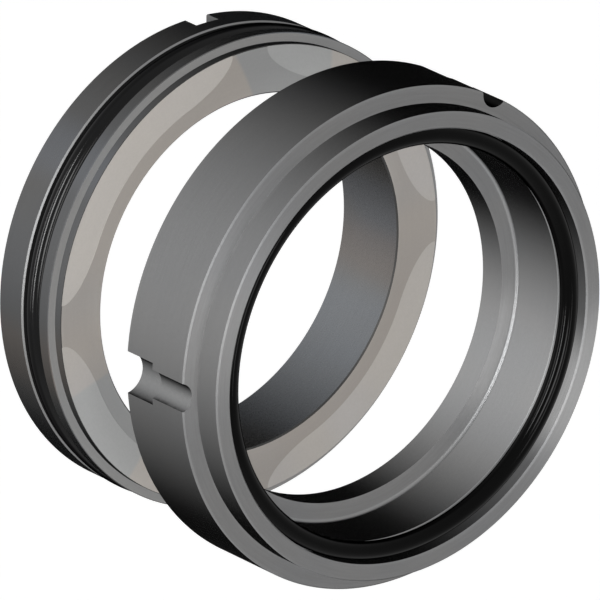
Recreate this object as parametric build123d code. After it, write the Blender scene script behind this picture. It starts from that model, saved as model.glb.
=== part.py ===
from build123d import *
from math import atan2, degrees, hypot
import os

# Ring pair of a mechanical shaft seal, in millimetres: a stationary seat and the rotating ring
# that runs against it, each with its O-ring, drawn apart along the shaft.
# The shaft lies along Y, +Z is up, and the origin is on the shaft's axis in the plane of the
# seat's back face. The seat looks along -Y, towards the rotating ring.

# What the rings fit in the pump
shaft_diameter = 70.0
sleeve_step_height = 5.0  # radial, of the balance step that the rotating ring floats on
drive_pin_diameter = 6.0
antirotation_pin_diameter = 5.0

# Distance between the two running faces as drawn apart
face_gap = 25.9

# Stationary seat: radial sizes outwards from the shaft, then lengths from the back face
seat_bore_clearance = 1.1
lapped_face_width = 9.7
seat_shoulder_width = 1.8
rear_land_length = 7.25
front_land_length = 2.55
lapped_face_rise = 1.8  # how far the lapped face stands out from the shoulder round it
notch_length = 3.8
notch_depth = 2.8
notch_clearance = 0.35  # on the pin's diameter

# Pressure lobes: shallow recesses in the lapped face, open at its rim, that lift the film
lobe_count = 4
lobe_recess = 0.05
sealing_dam_width = 3.5  # unbroken band between the bore and the lobes
land_angle = 10.8  # lapped land left between two lobes at the rim, degrees
lobe_corner_length = 13.2  # the corners are quarter ellipses: half axis round the ring
lobe_corner_width = 4.45  # and half axis across it

# Rotating ring: radial sizes outwards from the sleeve, then lengths from the running face
ring_bore_clearance = 1.3  # of the flange, round the shaft
sleeve_clearance = 0.1  # of the float bore, round the sleeve's step
nose_wall = 3.35  # from the O-ring's pocket to the nose
drive_band_height = 3.45  # from the nose to the rim
flange_thickness = 5.95
float_bore_length = 12.45
nose_length = 5.95

# Drive slots, cut along the rim of the rotating ring
slot_count = 3
first_slot_angle = 180.0  # degrees from +X towards +Z
slot_depth = 2.2
slot_clearance = 0.03  # round the drive pin
slot_mouth_widening = 1.27  # of the mouth at the running face, which leads the pin in
slot_mouth_depth = 3.85
slot_mouth_length = 7.9

# O-rings, both of one cord
cord_diameter = 3.53
seat_cord_proud = 0.15  # stands out of the seat's rim, to be squeezed by the gland
seat_cord_floor_gap = 0.05
seat_cord_rear_gap = 0.3
seat_cord_front_gap = 1.57
ring_cord_grip = 0.515  # stands into the float bore, inside the sleeve's step
ring_cord_wall_gap = 0.185
ring_cord_end_gap = 0.12
ring_cord_setback = 1.2  # behind the nose's end

# Edge breaks and the root radius
edge_break = 0.3
lapped_edge_break = 0.15
flange_root_radius = 0.6

over = 1.0  # how far a cutter runs past the face it starts from
same_place = 0.001  # tolerance for picking an edge

# Seat, from its back face at 0 towards -Y
cord_radius = cord_diameter / 2
seat_bore_radius = shaft_diameter / 2 + seat_bore_clearance
lapped_face_radius = seat_bore_radius + lapped_face_width
seat_radius = lapped_face_radius + seat_shoulder_width
seat_cord_centre_radius = seat_radius + seat_cord_proud - cord_radius
groove_floor_radius = seat_cord_centre_radius - cord_radius - seat_cord_floor_gap
groove_rear_y = -rear_land_length
seat_cord_y = groove_rear_y - seat_cord_rear_gap - cord_radius
groove_front_y = seat_cord_y - cord_radius - seat_cord_front_gap
seat_shoulder_y = groove_front_y - front_land_length
lapped_face_y = seat_shoulder_y - lapped_face_rise

# Rotating ring, from its running face towards -Y
sleeve_step_radius = shaft_diameter / 2 + sleeve_step_height
ring_bore_radius = shaft_diameter / 2 + ring_bore_clearance
float_bore_radius = sleeve_step_radius + sleeve_clearance
ring_cord_centre_radius = sleeve_step_radius - ring_cord_grip + cord_radius
pocket_radius = ring_cord_centre_radius + cord_radius + ring_cord_wall_gap
nose_radius = pocket_radius + nose_wall
ring_radius = nose_radius + drive_band_height
running_face_y = lapped_face_y - face_gap
flange_front_y = running_face_y - flange_thickness
pocket_end_y = flange_front_y - float_bore_length
ring_cord_y = pocket_end_y - ring_cord_end_gap - cord_radius
ring_front_y = ring_cord_y - cord_radius - ring_cord_setback
ring_shoulder_y = ring_front_y + nose_length
drive_band_length = running_face_y - ring_shoulder_y


def across(y):
    """Plane square to the shaft at y, seen from -Y: its x is +X, its y is +Z."""
    return Plane(origin=(0, y, 0), x_dir=(1, 0, 0), z_dir=(0, -1, 0))


def turned(*profile):
    """Solid turned about the shaft from a closed profile of (radius, y) points."""
    return revolve(make_face(Polyline(*profile, close=True)), Axis.Y)


def rim(solid, radius, y):
    """The solid's circular edge of this radius at this y."""
    circles = solid.edges().filter_by(GeomType.CIRCLE)
    return [
        edge
        for edge in circles
        if abs(edge.radius - radius) < same_place and abs(edge.arc_center.Y - y) < same_place
    ]


def polar(radius, angle):
    """Point of a plane at this radius and this angle in degrees."""
    return Vector(radius, 0).rotate(Axis.Z, angle)


def lobe_outline():
    """Outline of one pressure lobe, centred on the plane's x axis: an arc round the sealing dam
    that rises to the rim at each end in a quarter ellipse."""
    dam_radius = seat_bore_radius + sealing_dam_width
    corner_radius = dam_radius + lobe_corner_width
    half_span = (360 / lobe_count - land_angle) / 2
    corner_angle = half_span - degrees(atan2(lobe_corner_length, corner_radius))
    tip_radius = hypot(corner_radius, lobe_corner_length)
    outer_radius = max(lapped_face_radius, tip_radius) + over
    edges = [
        CenterArc((0, 0), dam_radius, -corner_angle, 2 * corner_angle),
        CenterArc((0, 0), outer_radius, -half_span, 2 * half_span),
    ]
    for side, start_angle in ((1, 90), (-1, 180)):
        corner = EllipticalCenterArc(
            polar(corner_radius, side * corner_angle),
            lobe_corner_width,
            lobe_corner_length,
            start_angle,
            arc_size=90,
            rotation=side * corner_angle,
        )
        edges.append(corner)
        edges.append(Line(polar(tip_radius, side * half_span), polar(outer_radius, side * half_span)))
    return make_face(edges)


def stationary_seat():
    """Seat: turned blank with the O-ring's groove, a pin notch in the back and the lobed face."""
    seat = turned(
        (seat_bore_radius, 0),
        (seat_radius, 0),
        (seat_radius, groove_rear_y),
        (groove_floor_radius, groove_rear_y),
        (groove_floor_radius, groove_front_y),
        (seat_radius, groove_front_y),
        (seat_radius, seat_shoulder_y),
        (lapped_face_radius, seat_shoulder_y),
        (lapped_face_radius, lapped_face_y),
        (seat_bore_radius, lapped_face_y),
    )
    ground_rims = (
        rim(seat, seat_radius, 0)
        + rim(seat, seat_radius, groove_rear_y)
        + rim(seat, seat_bore_radius, 0)
        + rim(seat, seat_bore_radius, lapped_face_y)
    )
    seat = chamfer(ground_rims, edge_break)
    front_rims = rim(seat, lapped_face_radius, lapped_face_y) + rim(seat, seat_radius, seat_shoulder_y)
    seat = chamfer(front_rims, lapped_edge_break)

    notch_width = antirotation_pin_diameter + notch_clearance
    notch = Box(notch_width, notch_length + over, 2 * notch_depth)
    seat -= Pos(0, (over - notch_length) / 2, seat_radius) * notch

    lobe = extrude(lobe_outline(), -lobe_recess)
    for index in range(lobe_count):
        seat -= across(lapped_face_y) * Rot(Z=(index + 0.5) * 360 / lobe_count) * lobe
    return seat


def rim_cutter(radius, depth, length, angle):
    """Round cutter that lies along the rotating ring's rim, from past its running face."""
    start = across(running_face_y + over) * Rot(Z=angle)
    along = (Align.CENTER, Align.CENTER, Align.MIN)
    return start * Pos(ring_radius - depth + radius, 0) * Cylinder(radius, length + over, align=along)


def rotating_ring():
    """Rotating ring: flange with the running face, float bore, O-ring pocket and drive slots."""
    ring = turned(
        (ring_bore_radius, running_face_y),
        (ring_radius, running_face_y),
        (ring_radius, ring_shoulder_y),
        (nose_radius, ring_shoulder_y),
        (nose_radius, ring_front_y),
        (pocket_radius, ring_front_y),
        (pocket_radius, pocket_end_y),
        (float_bore_radius, pocket_end_y),
        (float_bore_radius, flange_front_y),
        (ring_bore_radius, flange_front_y),
    )
    ring = fillet(rim(ring, float_bore_radius, flange_front_y), flange_root_radius)
    ground_rims = (
        rim(ring, ring_radius, ring_shoulder_y)
        + rim(ring, nose_radius, ring_front_y)
        + rim(ring, pocket_radius, ring_front_y)
    )
    ring = chamfer(ground_rims, edge_break)
    running_rims = rim(ring, ring_radius, running_face_y) + rim(ring, ring_bore_radius, running_face_y)
    ring = chamfer(running_rims, lapped_edge_break)

    slot_radius = drive_pin_diameter / 2 + slot_clearance
    mouth_radius = slot_radius + slot_mouth_widening
    for index in range(slot_count):
        angle = first_slot_angle + index * 360 / slot_count
        ring -= rim_cutter(slot_radius, slot_depth, drive_band_length + over, angle)
        ring -= rim_cutter(mouth_radius, slot_mouth_depth, slot_mouth_length, angle)
    return ring


def o_ring(centre_radius, y):
    """O-ring of the common cord, round the shaft at y."""
    return across(y) * Torus(centre_radius, cord_radius)


nodes = {
    "stationary_seat": stationary_seat(),
    "seat_o_ring": o_ring(seat_cord_centre_radius, seat_cord_y),
    "rotating_ring": rotating_ring(),
    "ring_o_ring": o_ring(ring_cord_centre_radius, ring_cord_y),
}

os.makedirs("parts", exist_ok=True)
for name, shape in nodes.items():
    export_step(shape, f"parts/{name}.step")
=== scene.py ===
"""Ring pair of a mechanical shaft seal: the visible rings and cords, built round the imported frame.

The shaft lies along Y and +Z is up. The pieces' sizes are millimetres, and the meshes and the studio
are metres. Angles round the shaft are degrees from +Z towards +X unless a docstring says otherwise.
"""

from __future__ import annotations

import logging
import math
from collections.abc import Callable, Sequence
from dataclasses import dataclass, field
from enum import Enum, IntEnum

import bmesh
import bpy
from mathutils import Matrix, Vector

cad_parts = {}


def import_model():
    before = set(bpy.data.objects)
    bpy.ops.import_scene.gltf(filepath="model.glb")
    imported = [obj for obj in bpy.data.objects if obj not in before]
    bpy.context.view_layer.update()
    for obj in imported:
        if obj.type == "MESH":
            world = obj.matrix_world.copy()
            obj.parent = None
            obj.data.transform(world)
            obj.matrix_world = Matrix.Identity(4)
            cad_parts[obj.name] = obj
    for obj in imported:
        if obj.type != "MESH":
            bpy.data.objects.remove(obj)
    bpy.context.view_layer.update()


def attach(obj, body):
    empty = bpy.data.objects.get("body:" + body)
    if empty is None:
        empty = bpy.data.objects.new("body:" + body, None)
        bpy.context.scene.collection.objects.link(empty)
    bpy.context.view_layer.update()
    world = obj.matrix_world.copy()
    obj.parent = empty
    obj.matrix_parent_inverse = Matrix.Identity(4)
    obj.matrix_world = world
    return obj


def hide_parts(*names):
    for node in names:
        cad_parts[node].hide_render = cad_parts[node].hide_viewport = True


logging.basicConfig(level=logging.INFO, format="%(levelname)s %(name)s: %(message)s")
LOG = logging.getLogger("shaft_seal")

MM = 0.001
FAR = 1000.0  # mm, the place of an edge that a surface doesn't have
SAME_PLACE = 0.02  # mm, for picking faces and edges by radius and place along the shaft
SQUARE_TO = 0.1  # a normal with less than this along a direction counts as square to it
OVER = 1.0  # mm, how far a cutter runs past the face it starts from
SMOOTH_ANGLE = math.radians(24)  # faces that meet at less than this shade as one
ALONG_SHAFT = (math.pi / 2, 0, 0)  # turns a new primitive's axis from Z to the shaft
MIDDLE = 0.5  # of a noise or a mask that runs from 0 to 1
WHITE = (1.0, 1.0, 1.0, 1.0)
BLACK = (0.0, 0.0, 0.0, 1.0)

Colour = tuple[float, float, float]
Point = tuple[float, float]


class Body(Enum):
    """Bodies of the frame that the pieces ride on."""

    STATIONARY = "stationary"
    FLOATING = "floating"
    ROTATING = "rotating"


class Slot(Enum):
    """Material slots of the record."""

    SEAT_CARBIDE = "seat_carbide"
    RING_CARBIDE = "ring_carbide"
    RUBBER = "o_ring_rubber"


class SeatArea(IntEnum):
    """Areas of the seat that have a finish of their own, in the order of its materials."""

    RIM = 0
    FRONT_RIM = 1
    LAND = 2
    LOBE = 3
    SHOULDER = 4
    BORE = 5
    GROOVE = 6
    BACK = 7
    BROKEN_EDGE = 8
    LAPPED_EDGE = 9


class RingArea(IntEnum):
    """Areas of the rotating ring that have a finish of their own, in the order of its materials."""

    RIM = 0
    NOSE = 1
    SHOULDER = 2
    END = 3
    FLOAT_BORE = 4
    BORE = 5
    FLANGE_FRONT = 6
    POCKET = 7
    RUNNING_FACE = 8
    DRIVE_SLOT = 9
    BROKEN_EDGE = 10
    ROOT = 11


# ---------------------------------------------------------------- node trees


@dataclass
class Sheet:
    """A node tree with short calls for the nodes that the finishes and effects use."""

    tree: bpy.types.NodeTree

    def add(self, kind: str, **settings: object) -> bpy.types.Node:
        """Adds a node and sets its properties.

        Args:
            kind: Blender's name of the node class.
            settings: properties of the node and their values.

        Returns:
            The new node.
        """
        node = self.tree.nodes.new(kind)
        for name, value in settings.items():
            setattr(node, name, value)
        return node

    def feed(self, node: bpy.types.Node, values: dict[str | int, object]) -> None:
        """Links sockets, or sets numbers, on a node's inputs.

        Args:
            node: the node that is fed.
            values: an output socket or a value for each input, by name or place.
        """
        for key, value in values.items():
            if isinstance(value, bpy.types.NodeSocket):
                self.tree.links.new(value, node.inputs[key])
            else:
                node.inputs[key].default_value = value

    def maths(self, operation: str, *values: object) -> bpy.types.NodeSocket:
        """Adds a Math node.

        Args:
            operation: Blender's name of the operation.
            values: one to three sockets or numbers.

        Returns:
            The result's socket.
        """
        node = self.add("ShaderNodeMath", operation=operation)
        self.feed(node, dict(enumerate(values)))
        return node.outputs[0]

    def vector(
        self, operation: str, values: dict[str | int, object], output: int = 0
    ) -> bpy.types.NodeSocket:
        """Adds a Vector Math node.

        Args:
            operation: Blender's name of the operation.
            values: a socket or a value for each input.
            output: place of the output that is wanted: 0 for a vector, 1 for a number.

        Returns:
            That output's socket.
        """
        node = self.add("ShaderNodeVectorMath", operation=operation)
        self.feed(node, values)
        return node.outputs[output]

    def ramp(
        self, value: object, span: tuple[object, object], result: tuple[object, object]
    ) -> bpy.types.NodeSocket:
        """Maps a value smoothly from one range to another, clamped at both ends.

        Args:
            value: what is mapped.
            span: the range that it comes from.
            result: what it becomes at the two ends of that range.

        Returns:
            The mapped value's socket.
        """
        node = self.add("ShaderNodeMapRange", interpolation_type="SMOOTHSTEP")
        self.feed(node, dict(enumerate((value, *span, *result))))
        return node.outputs["Result"]

    def swing(self, mask: object, amount: float, base: object) -> bpy.types.NodeSocket:
        """Moves a value by this amount in all as a mask goes from 0 to 1, and not at its middle."""
        return self.maths("MULTIPLY_ADD", self.maths("SUBTRACT", mask, MIDDLE), amount, base)

    def blend(self, factor: object, first: object, second: object) -> bpy.types.NodeSocket:
        """Mixes two colours.

        Args:
            factor: 0 for the first colour, 1 for the second.
            first: a socket or a colour.
            second: a socket or a colour.

        Returns:
            The mixed colour's socket.
        """
        node = self.add("ShaderNodeMix", data_type="RGBA")
        colours = [(*c, 1.0) if isinstance(c, tuple) else c for c in (first, second)]
        self.feed(node, {0: factor, 6: colours[0], 7: colours[1]})  # 6 and 7 are its two colours
        return node.outputs[2]  # and 2 is the mixed one

    def place(self, effect: bpy.types.NodeTree, values: dict[str, object]) -> bpy.types.NodeSocket:
        """Places a shared effect and feeds its inputs.

        Args:
            effect: the effect's node group.
            values: a socket or a number for each named input.

        Returns:
            The effect's only output socket.
        """
        node = self.add("ShaderNodeGroup", node_tree=effect)
        self.feed(node, values)
        return node.outputs[0]

    def cover(self, share: object, under: bpy.types.Node, over: bpy.types.Node) -> None:
        """Mixes two shaders into the material's surface.

        Args:
            share: how much of the surface the upper shader covers.
            under: the lower shader.
            over: the upper shader.
        """
        mix = self.add("ShaderNodeMixShader")
        self.feed(mix, {0: share, 1: under.outputs[0], 2: over.outputs[0]})
        self.feed(self.tree.nodes["Material Output"], {"Surface": mix.outputs[0]})


def new_material(name: str) -> tuple[bpy.types.Material, Sheet, bpy.types.Node]:
    """Makes a material with Blender's plain shader in it.

    Args:
        name: the material's name.

    Returns:
        The material, the sheet of its nodes and its Principled shader.
    """
    made = bpy.data.materials.new(name)
    made.use_nodes = True
    return made, Sheet(made.node_tree), made.node_tree.nodes["Principled BSDF"]


@dataclass
class Effects:
    """Shader node groups that several finishes share, each built once."""

    turning: bpy.types.NodeTree = field(init=False)
    grain: bpy.types.NodeTree = field(init=False)
    rub_and_shade: bpy.types.NodeTree = field(init=False)
    drift: bpy.types.NodeTree = field(init=False)
    sector: bpy.types.NodeTree = field(init=False)
    patch_scale: float = 260.0  # of the noise that makes the rub, and the painted shade, patchy
    patch_band: Point = (0.38, 0.62)  # of that noise, from the least to the most rub and painted shade
    least_rub_and_shade: float = 0.25  # as a part of the most
    drift_along: float = 30.0  # how fast the drift changes along the shaft, for each metre
    drift_band: Point = (0.35, 0.65)  # of its noise, from 0 to 1

    def __post_init__(self) -> None:
        """Builds every group."""
        self.turning = self._turning()
        self.grain = self._grain()
        self.rub_and_shade = self._wear()
        self.drift = self._drift()
        self.sector = self._sector()

    @staticmethod
    def _open(
        name: str, inputs: Sequence[str], output: str
    ) -> tuple[Sheet, dict[str, bpy.types.NodeSocket]]:
        """Starts a group with a Position vector and named numbers going in, and one number out.

        Args:
            name: the group's name.
            inputs: names of the numbers that go in.
            output: name of the number that comes out.

        Returns:
            The group's sheet and its inputs by name.
        """
        tree = bpy.data.node_groups.new(name, "ShaderNodeTree")
        tree.interface.new_socket("Position", in_out="INPUT", socket_type="NodeSocketVector")
        for label in inputs:
            tree.interface.new_socket(label, in_out="INPUT", socket_type="NodeSocketFloat")
        tree.interface.new_socket(output, in_out="OUTPUT", socket_type="NodeSocketFloat")
        source = tree.nodes.new("NodeGroupInput")
        return Sheet(tree), {s.name: s for s in source.outputs if s.name}

    @staticmethod
    def _close(sheet: Sheet, value: bpy.types.NodeSocket) -> bpy.types.NodeTree:
        """Joins a value to the group's output and returns the group."""
        sheet.feed(sheet.add("NodeGroupOutput"), {0: value})
        return sheet.tree

    @staticmethod
    def _shaft_parts(sheet: Sheet, position: object) -> tuple[bpy.types.NodeSocket, ...]:
        """Splits a position into its radius, its place along the shaft and its direction round it.

        Args:
            sheet: the sheet that the nodes go on.
            position: a position in metres.

        Returns:
            Sockets of the radius, the place along Y and the unit vector away from the shaft.
        """
        split = sheet.add("ShaderNodeSeparateXYZ")
        sheet.feed(split, {0: position})
        flat = sheet.vector("MULTIPLY", {0: position, 1: (1.0, 0.0, 1.0)})
        return sheet.vector("LENGTH", {0: flat}, 1), split.outputs[1], sheet.vector("NORMALIZE", {0: flat})

    @staticmethod
    def _round_and_along(sheet: Sheet, away: object, turns: object, along: object) -> bpy.types.NodeSocket:
        """Finds a place in a noise that changes slowly round the ring and faster along the shaft.

        Args:
            sheet: the sheet that the nodes go on.
            away: the unit vector away from the shaft.
            turns: how fast the noise changes round the ring.
            along: its place along the shaft, in the noise's own units.

        Returns:
            The place's socket.
        """
        round_part = sheet.vector("SCALE", {0: away, "Scale": turns})
        lengthwise = sheet.add("ShaderNodeCombineXYZ")
        sheet.feed(lengthwise, {1: along})
        return sheet.vector("ADD", {0: round_part, 1: lengthwise.outputs[0]})

    def _turning(self) -> bpy.types.NodeTree:
        """Builds the fine marks that run round the shaft, as grinding and lapping leave them.

        Returns:
            The group.
        """
        sheet, given = self._open("turning marks", ("Spacing", "Run"), "Marks")
        radius, along, away = self._shaft_parts(sheet, given["Position"])
        step = sheet.maths("DIVIDE", along, given["Spacing"])
        at = self._round_and_along(sheet, away, given["Run"], step)
        depth = sheet.maths("DIVIDE", radius, given["Spacing"])
        noise = sheet.add("ShaderNodeTexNoise", noise_dimensions="4D")
        sheet.feed(noise, {"Vector": at, "W": depth, "Scale": 1.0, "Detail": 3.0, "Roughness": 0.6})
        return self._close(sheet, noise.outputs[0])

    def _grain(self) -> bpy.types.NodeTree:
        """Builds the even speckle of the material itself.

        Returns:
            The group.
        """
        sheet, given = self._open("fine grain", ("Size",), "Grain")
        scale = sheet.maths("DIVIDE", 1.0, given["Size"])
        at = sheet.vector("SCALE", {0: given["Position"], "Scale": scale})
        noise = sheet.add("ShaderNodeTexNoise")
        sheet.feed(noise, {"Vector": at, "Scale": 1.0, "Detail": 4.0, "Roughness": 0.65})
        return self._close(sheet, noise.outputs[0])

    def _wear(self) -> bpy.types.NodeTree:
        """Builds the patchy band beside a surface's edges, given by two radii and two places along Y, where
        rub lightens a finish and painted shade darkens it.

        Returns:
            The group.
        """
        sheet, given = self._open("edge wear", ("Inner", "Outer", "Back", "Front", "Width"), "Wear")
        radius, along, _ = self._shaft_parts(sheet, given["Position"])
        edges = ((radius, "Inner"), (radius, "Outer"), (along, "Back"), (along, "Front"))
        gaps = [
            sheet.maths("ABSOLUTE", sheet.maths("SUBTRACT", place, given[edge])) for place, edge in edges
        ]
        pairs = [sheet.maths("MINIMUM", *gaps[:2]), sheet.maths("MINIMUM", *gaps[2:])]
        nearest = sheet.maths("MINIMUM", *pairs)
        beside = sheet.ramp(nearest, (0.0, given["Width"]), (1.0, 0.0))
        noise = sheet.add("ShaderNodeTexNoise")
        sheet.feed(noise, {"Vector": given["Position"], "Scale": self.patch_scale, "Detail": 3.0})
        patches = sheet.ramp(noise.outputs[0], self.patch_band, (self.least_rub_and_shade, 1.0))
        return self._close(sheet, sheet.maths("MULTIPLY", beside, patches))

    def _drift(self) -> bpy.types.NodeTree:
        """Builds a slow change round the ring, from 0 to 1.

        Returns:
            The group.
        """
        sheet, given = self._open("tone drift", ("Turns",), "Drift")
        _, along, away = self._shaft_parts(sheet, given["Position"])
        shift = sheet.maths("MULTIPLY", along, self.drift_along)
        at = self._round_and_along(sheet, away, given["Turns"], shift)
        noise = sheet.add("ShaderNodeTexNoise")
        sheet.feed(noise, {"Vector": at, "Scale": 1.0, "Detail": 1.0})
        return self._close(sheet, sheet.ramp(noise.outputs[0], self.drift_band, (0.0, 1.0)))

    def _sector(self) -> bpy.types.NodeTree:
        """Builds a wedge of the ring round a centre angle, in radians; its sides may lean outwards.

        Returns:
            The group.
        """
        sheet, given = self._open("sector", ("Centre", "Half", "Soft", "Lean", "Middle"), "Mask")
        radius, _, away = self._shaft_parts(sheet, given["Position"])
        split = sheet.add("ShaderNodeSeparateXYZ")
        sheet.feed(split, {0: away})
        angle = sheet.maths("ARCTAN2", split.outputs[0], split.outputs[2])
        lean = sheet.maths("MULTIPLY", sheet.maths("SUBTRACT", radius, given["Middle"]), given["Lean"])
        turned = sheet.maths("SUBTRACT", sheet.maths("SUBTRACT", angle, given["Centre"]), lean)
        gap = sheet.maths("ABSOLUTE", sheet.maths("WRAP", turned, math.pi, -math.pi))
        edge = sheet.maths("ADD", given["Half"], given["Soft"])
        return self._close(sheet, sheet.ramp(gap, (given["Half"], edge), (1.0, 0.0)))


# ---------------------------------------------------------------- finishes


@dataclass(frozen=True)
class Wedge:
    """A part of the ring round a centre angle, with soft sides. Angles are degrees round the shaft."""

    centre: float
    half: float
    soft: float
    lean: float = 0.0  # degrees for each mm outwards
    middle: float = 0.0  # mm, the radius at which a leaning wedge is at its centre angle

    def mask(self, sheet: Sheet, effects: Effects, at: object) -> bpy.types.NodeSocket:
        """Places the wedge's mask on a sheet.

        Args:
            sheet: the sheet that the nodes go on.
            effects: the shared node groups.
            at: the position's socket.

        Returns:
            The mask's socket: 1 inside the wedge and 0 outside.
        """
        values = {
            "Position": at,
            "Centre": math.radians(self.centre),
            "Half": math.radians(self.half),
            "Soft": math.radians(self.soft),
            "Lean": math.radians(self.lean) / MM,
            "Middle": self.middle * MM,
        }
        return sheet.place(effects.sector, values)


@dataclass(frozen=True)
class Tint:
    """Another colour that a finish takes on in one wedge of the ring: a painted reflection, painted
    highlight or painted shade.
    """

    wedge: Wedge
    amount: float
    colour: Colour


@dataclass(frozen=True)
class CarbideFinish:
    """Silicon carbide as one tool leaves it: ground, faced, bored or lapped."""

    name: str
    warm: Colour
    cool: Colour
    roughness: float
    metallic: float = 0.9
    spacing: float = 0.35  # mm between turning marks
    run: float = 5.0  # how often a mark changes round the ring
    marks: float = 0.16  # how much the marks change the tone
    relief: float = 0.0012  # mm, depth of the marks
    grain: float = 0.45  # mm, size of the speckle
    speckle: float = 0.14  # how much the speckle changes the tone
    speckle_dulling: float = 0.12  # and the roughness
    speckle_relief: float = 0.5  # its height beside that of the marks
    turns: float = 2.0  # how fast the colour drifts from warm to cool round the ring
    rub_and_shade: float = 0.3  # how much the rub beside the edges lightens the tone; below 0 it darkens it there as painted shade
    wear_gloss: float = 0.05  # and takes off the roughness
    wear_width: float = 0.9  # mm
    radii: Point = (0.0, FAR)  # mm, of the surface's edges
    ends: Point = (FAR, -FAR)  # mm, places of its edges along the shaft
    # wedges of painted reflection, painted highlight or painted shade, laid over the colour
    painted_tints: tuple[Tint, ...] = ()
    across: float = 0.0  # how much the marks spread a highlight across themselves
    across_turn: float = 0.25  # of a whole turn, from the marks to the way they spread it

    def material(self, effects: Effects) -> bpy.types.Material:
        """Builds the finish's material.

        Args:
            effects: the shared node groups.

        Returns:
            The new material.
        """
        made, sheet, shader = new_material(self.name)
        shader.inputs["Metallic"].default_value = self.metallic
        if self.across:
            self.brush(sheet, shader)
        at = sheet.add("ShaderNodeTexCoord").outputs["Object"]
        marks = sheet.place(
            effects.turning, {"Position": at, "Spacing": self.spacing * MM, "Run": self.run}
        )
        grain = sheet.place(effects.grain, {"Position": at, "Size": self.grain * MM})
        edges = zip(("Inner", "Outer", "Back", "Front", "Width"), (*self.radii, *self.ends, self.wear_width))
        rub_and_shade_band = sheet.place(effects.rub_and_shade, {"Position": at, **{name: size * MM for name, size in edges}})

        tone = sheet.swing(marks, self.marks, 1.0)
        tone = sheet.swing(grain, self.speckle, tone)
        tone = sheet.maths("MULTIPLY_ADD", rub_and_shade_band, self.rub_and_shade, tone)
        dull = sheet.swing(grain, self.speckle_dulling, self.roughness)
        dull = sheet.maths("MULTIPLY_ADD", rub_and_shade_band, -self.wear_gloss, dull)
        relief = sheet.add("ShaderNodeBump")
        height = sheet.maths("MULTIPLY_ADD", grain, self.speckle_relief, marks)
        sheet.feed(relief, {"Height": height, "Distance": self.relief * MM, "Strength": 1.0})
        values = {
            "Base Color": sheet.vector("SCALE", {0: self.colour(sheet, effects, at), "Scale": tone}),
            "Roughness": dull,
            "Normal": relief.outputs[0],
        }
        sheet.feed(shader, values)
        return made

    def brush(self, sheet: Sheet, shader: bpy.types.Node) -> None:
        """Lets the marks round the shaft spread a highlight across themselves.

        Args:
            sheet: the material's sheet.
            shader: its Principled shader.
        """
        shader.inputs["Anisotropic"].default_value = self.across
        shader.inputs["Anisotropic Rotation"].default_value = self.across_turn
        tangent = sheet.add("ShaderNodeTangent", direction_type="RADIAL", axis="Y")
        sheet.feed(shader, {"Tangent": tangent.outputs[0]})

    def colour(self, sheet: Sheet, effects: Effects, at: object) -> bpy.types.NodeSocket:
        """Drifts from warm to cool round the ring and lays the painted light and shade of its wedges over
        that.

        Args:
            sheet: the material's sheet.
            effects: the shared node groups.
            at: the position's socket.

        Returns:
            The colour's socket.
        """
        drift = sheet.place(effects.drift, {"Position": at, "Turns": self.turns})
        colour = sheet.blend(drift, self.warm, self.cool)
        for tint in self.painted_tints:
            mask = tint.wedge.mask(sheet, effects, at)
            colour = sheet.blend(sheet.maths("MULTIPLY", mask, tint.amount), colour, tint.colour)
        return colour


@dataclass(frozen=True)
class RubberFinish:
    """Black moulded rubber with a faint bloom."""

    name: str
    colour: Colour
    bloom: Colour
    roughness: float
    shine: float
    ior: float = 1.5
    grain: float = 0.3  # mm, size of the fine grain
    cloud: float = 5.0  # mm, size of the patches of bloom
    flow: float = 0.5  # mm between the marks that the mould leaves
    run: float = 3.0  # how often such a mark changes round the cord
    relief: float = 0.002  # mm, depth of the grain
    cloud_band: Point = (0.4, 0.7)  # of the patches' noise, from no bloom to full bloom
    bloom_dulling: float = 0.05
    flow_dulling: float = 0.06

    def material(self, effects: Effects) -> bpy.types.Material:
        """Builds the rubber's material.

        Args:
            effects: the shared node groups.

        Returns:
            The new material.
        """
        made, sheet, shader = new_material(self.name)
        shader.inputs["IOR"].default_value = self.ior
        shader.inputs["Specular IOR Level"].default_value = self.shine
        at = sheet.add("ShaderNodeTexCoord").outputs["Object"]
        grain = sheet.place(effects.grain, {"Position": at, "Size": self.grain * MM})
        cloud = sheet.place(effects.grain, {"Position": at, "Size": self.cloud * MM})
        flow = sheet.place(effects.turning, {"Position": at, "Spacing": self.flow * MM, "Run": self.run})
        haze = sheet.ramp(cloud, self.cloud_band, (0.0, 1.0))
        dull = sheet.maths("MULTIPLY_ADD", haze, self.bloom_dulling, self.roughness)
        relief = sheet.add("ShaderNodeBump")
        sheet.feed(relief, {"Height": grain, "Distance": self.relief * MM, "Strength": 1.0})
        values = {
            "Base Color": sheet.blend(haze, self.colour, self.bloom),
            "Roughness": sheet.swing(flow, self.flow_dulling, dull),
            "Normal": relief.outputs[0],
        }
        sheet.feed(shader, values)
        return made


# ---------------------------------------------------------------- shop work


@dataclass(frozen=True)
class Rim:
    """A circular edge of a turned blank, with the size of the break or fillet it gets."""

    radius: float
    along: float
    size: float
    segments: int = 1


@dataclass(frozen=True)
class FaceSpot:
    """Where a face lies and which way it looks: out from the shaft, and along +Y."""

    radius: float
    along: float
    outward: float
    lengthwise: float

    def is_round(self, radius: float) -> bool:
        """True for a face of the cylinder with this radius."""
        return abs(self.lengthwise) < SQUARE_TO and abs(self.radius - radius) < SAME_PLACE

    def is_flat(self, along: float) -> bool:
        """True for a face of the plane square to the shaft at this place."""
        return abs(self.outward) < SQUARE_TO and abs(self.along - along) < SAME_PLACE


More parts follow.
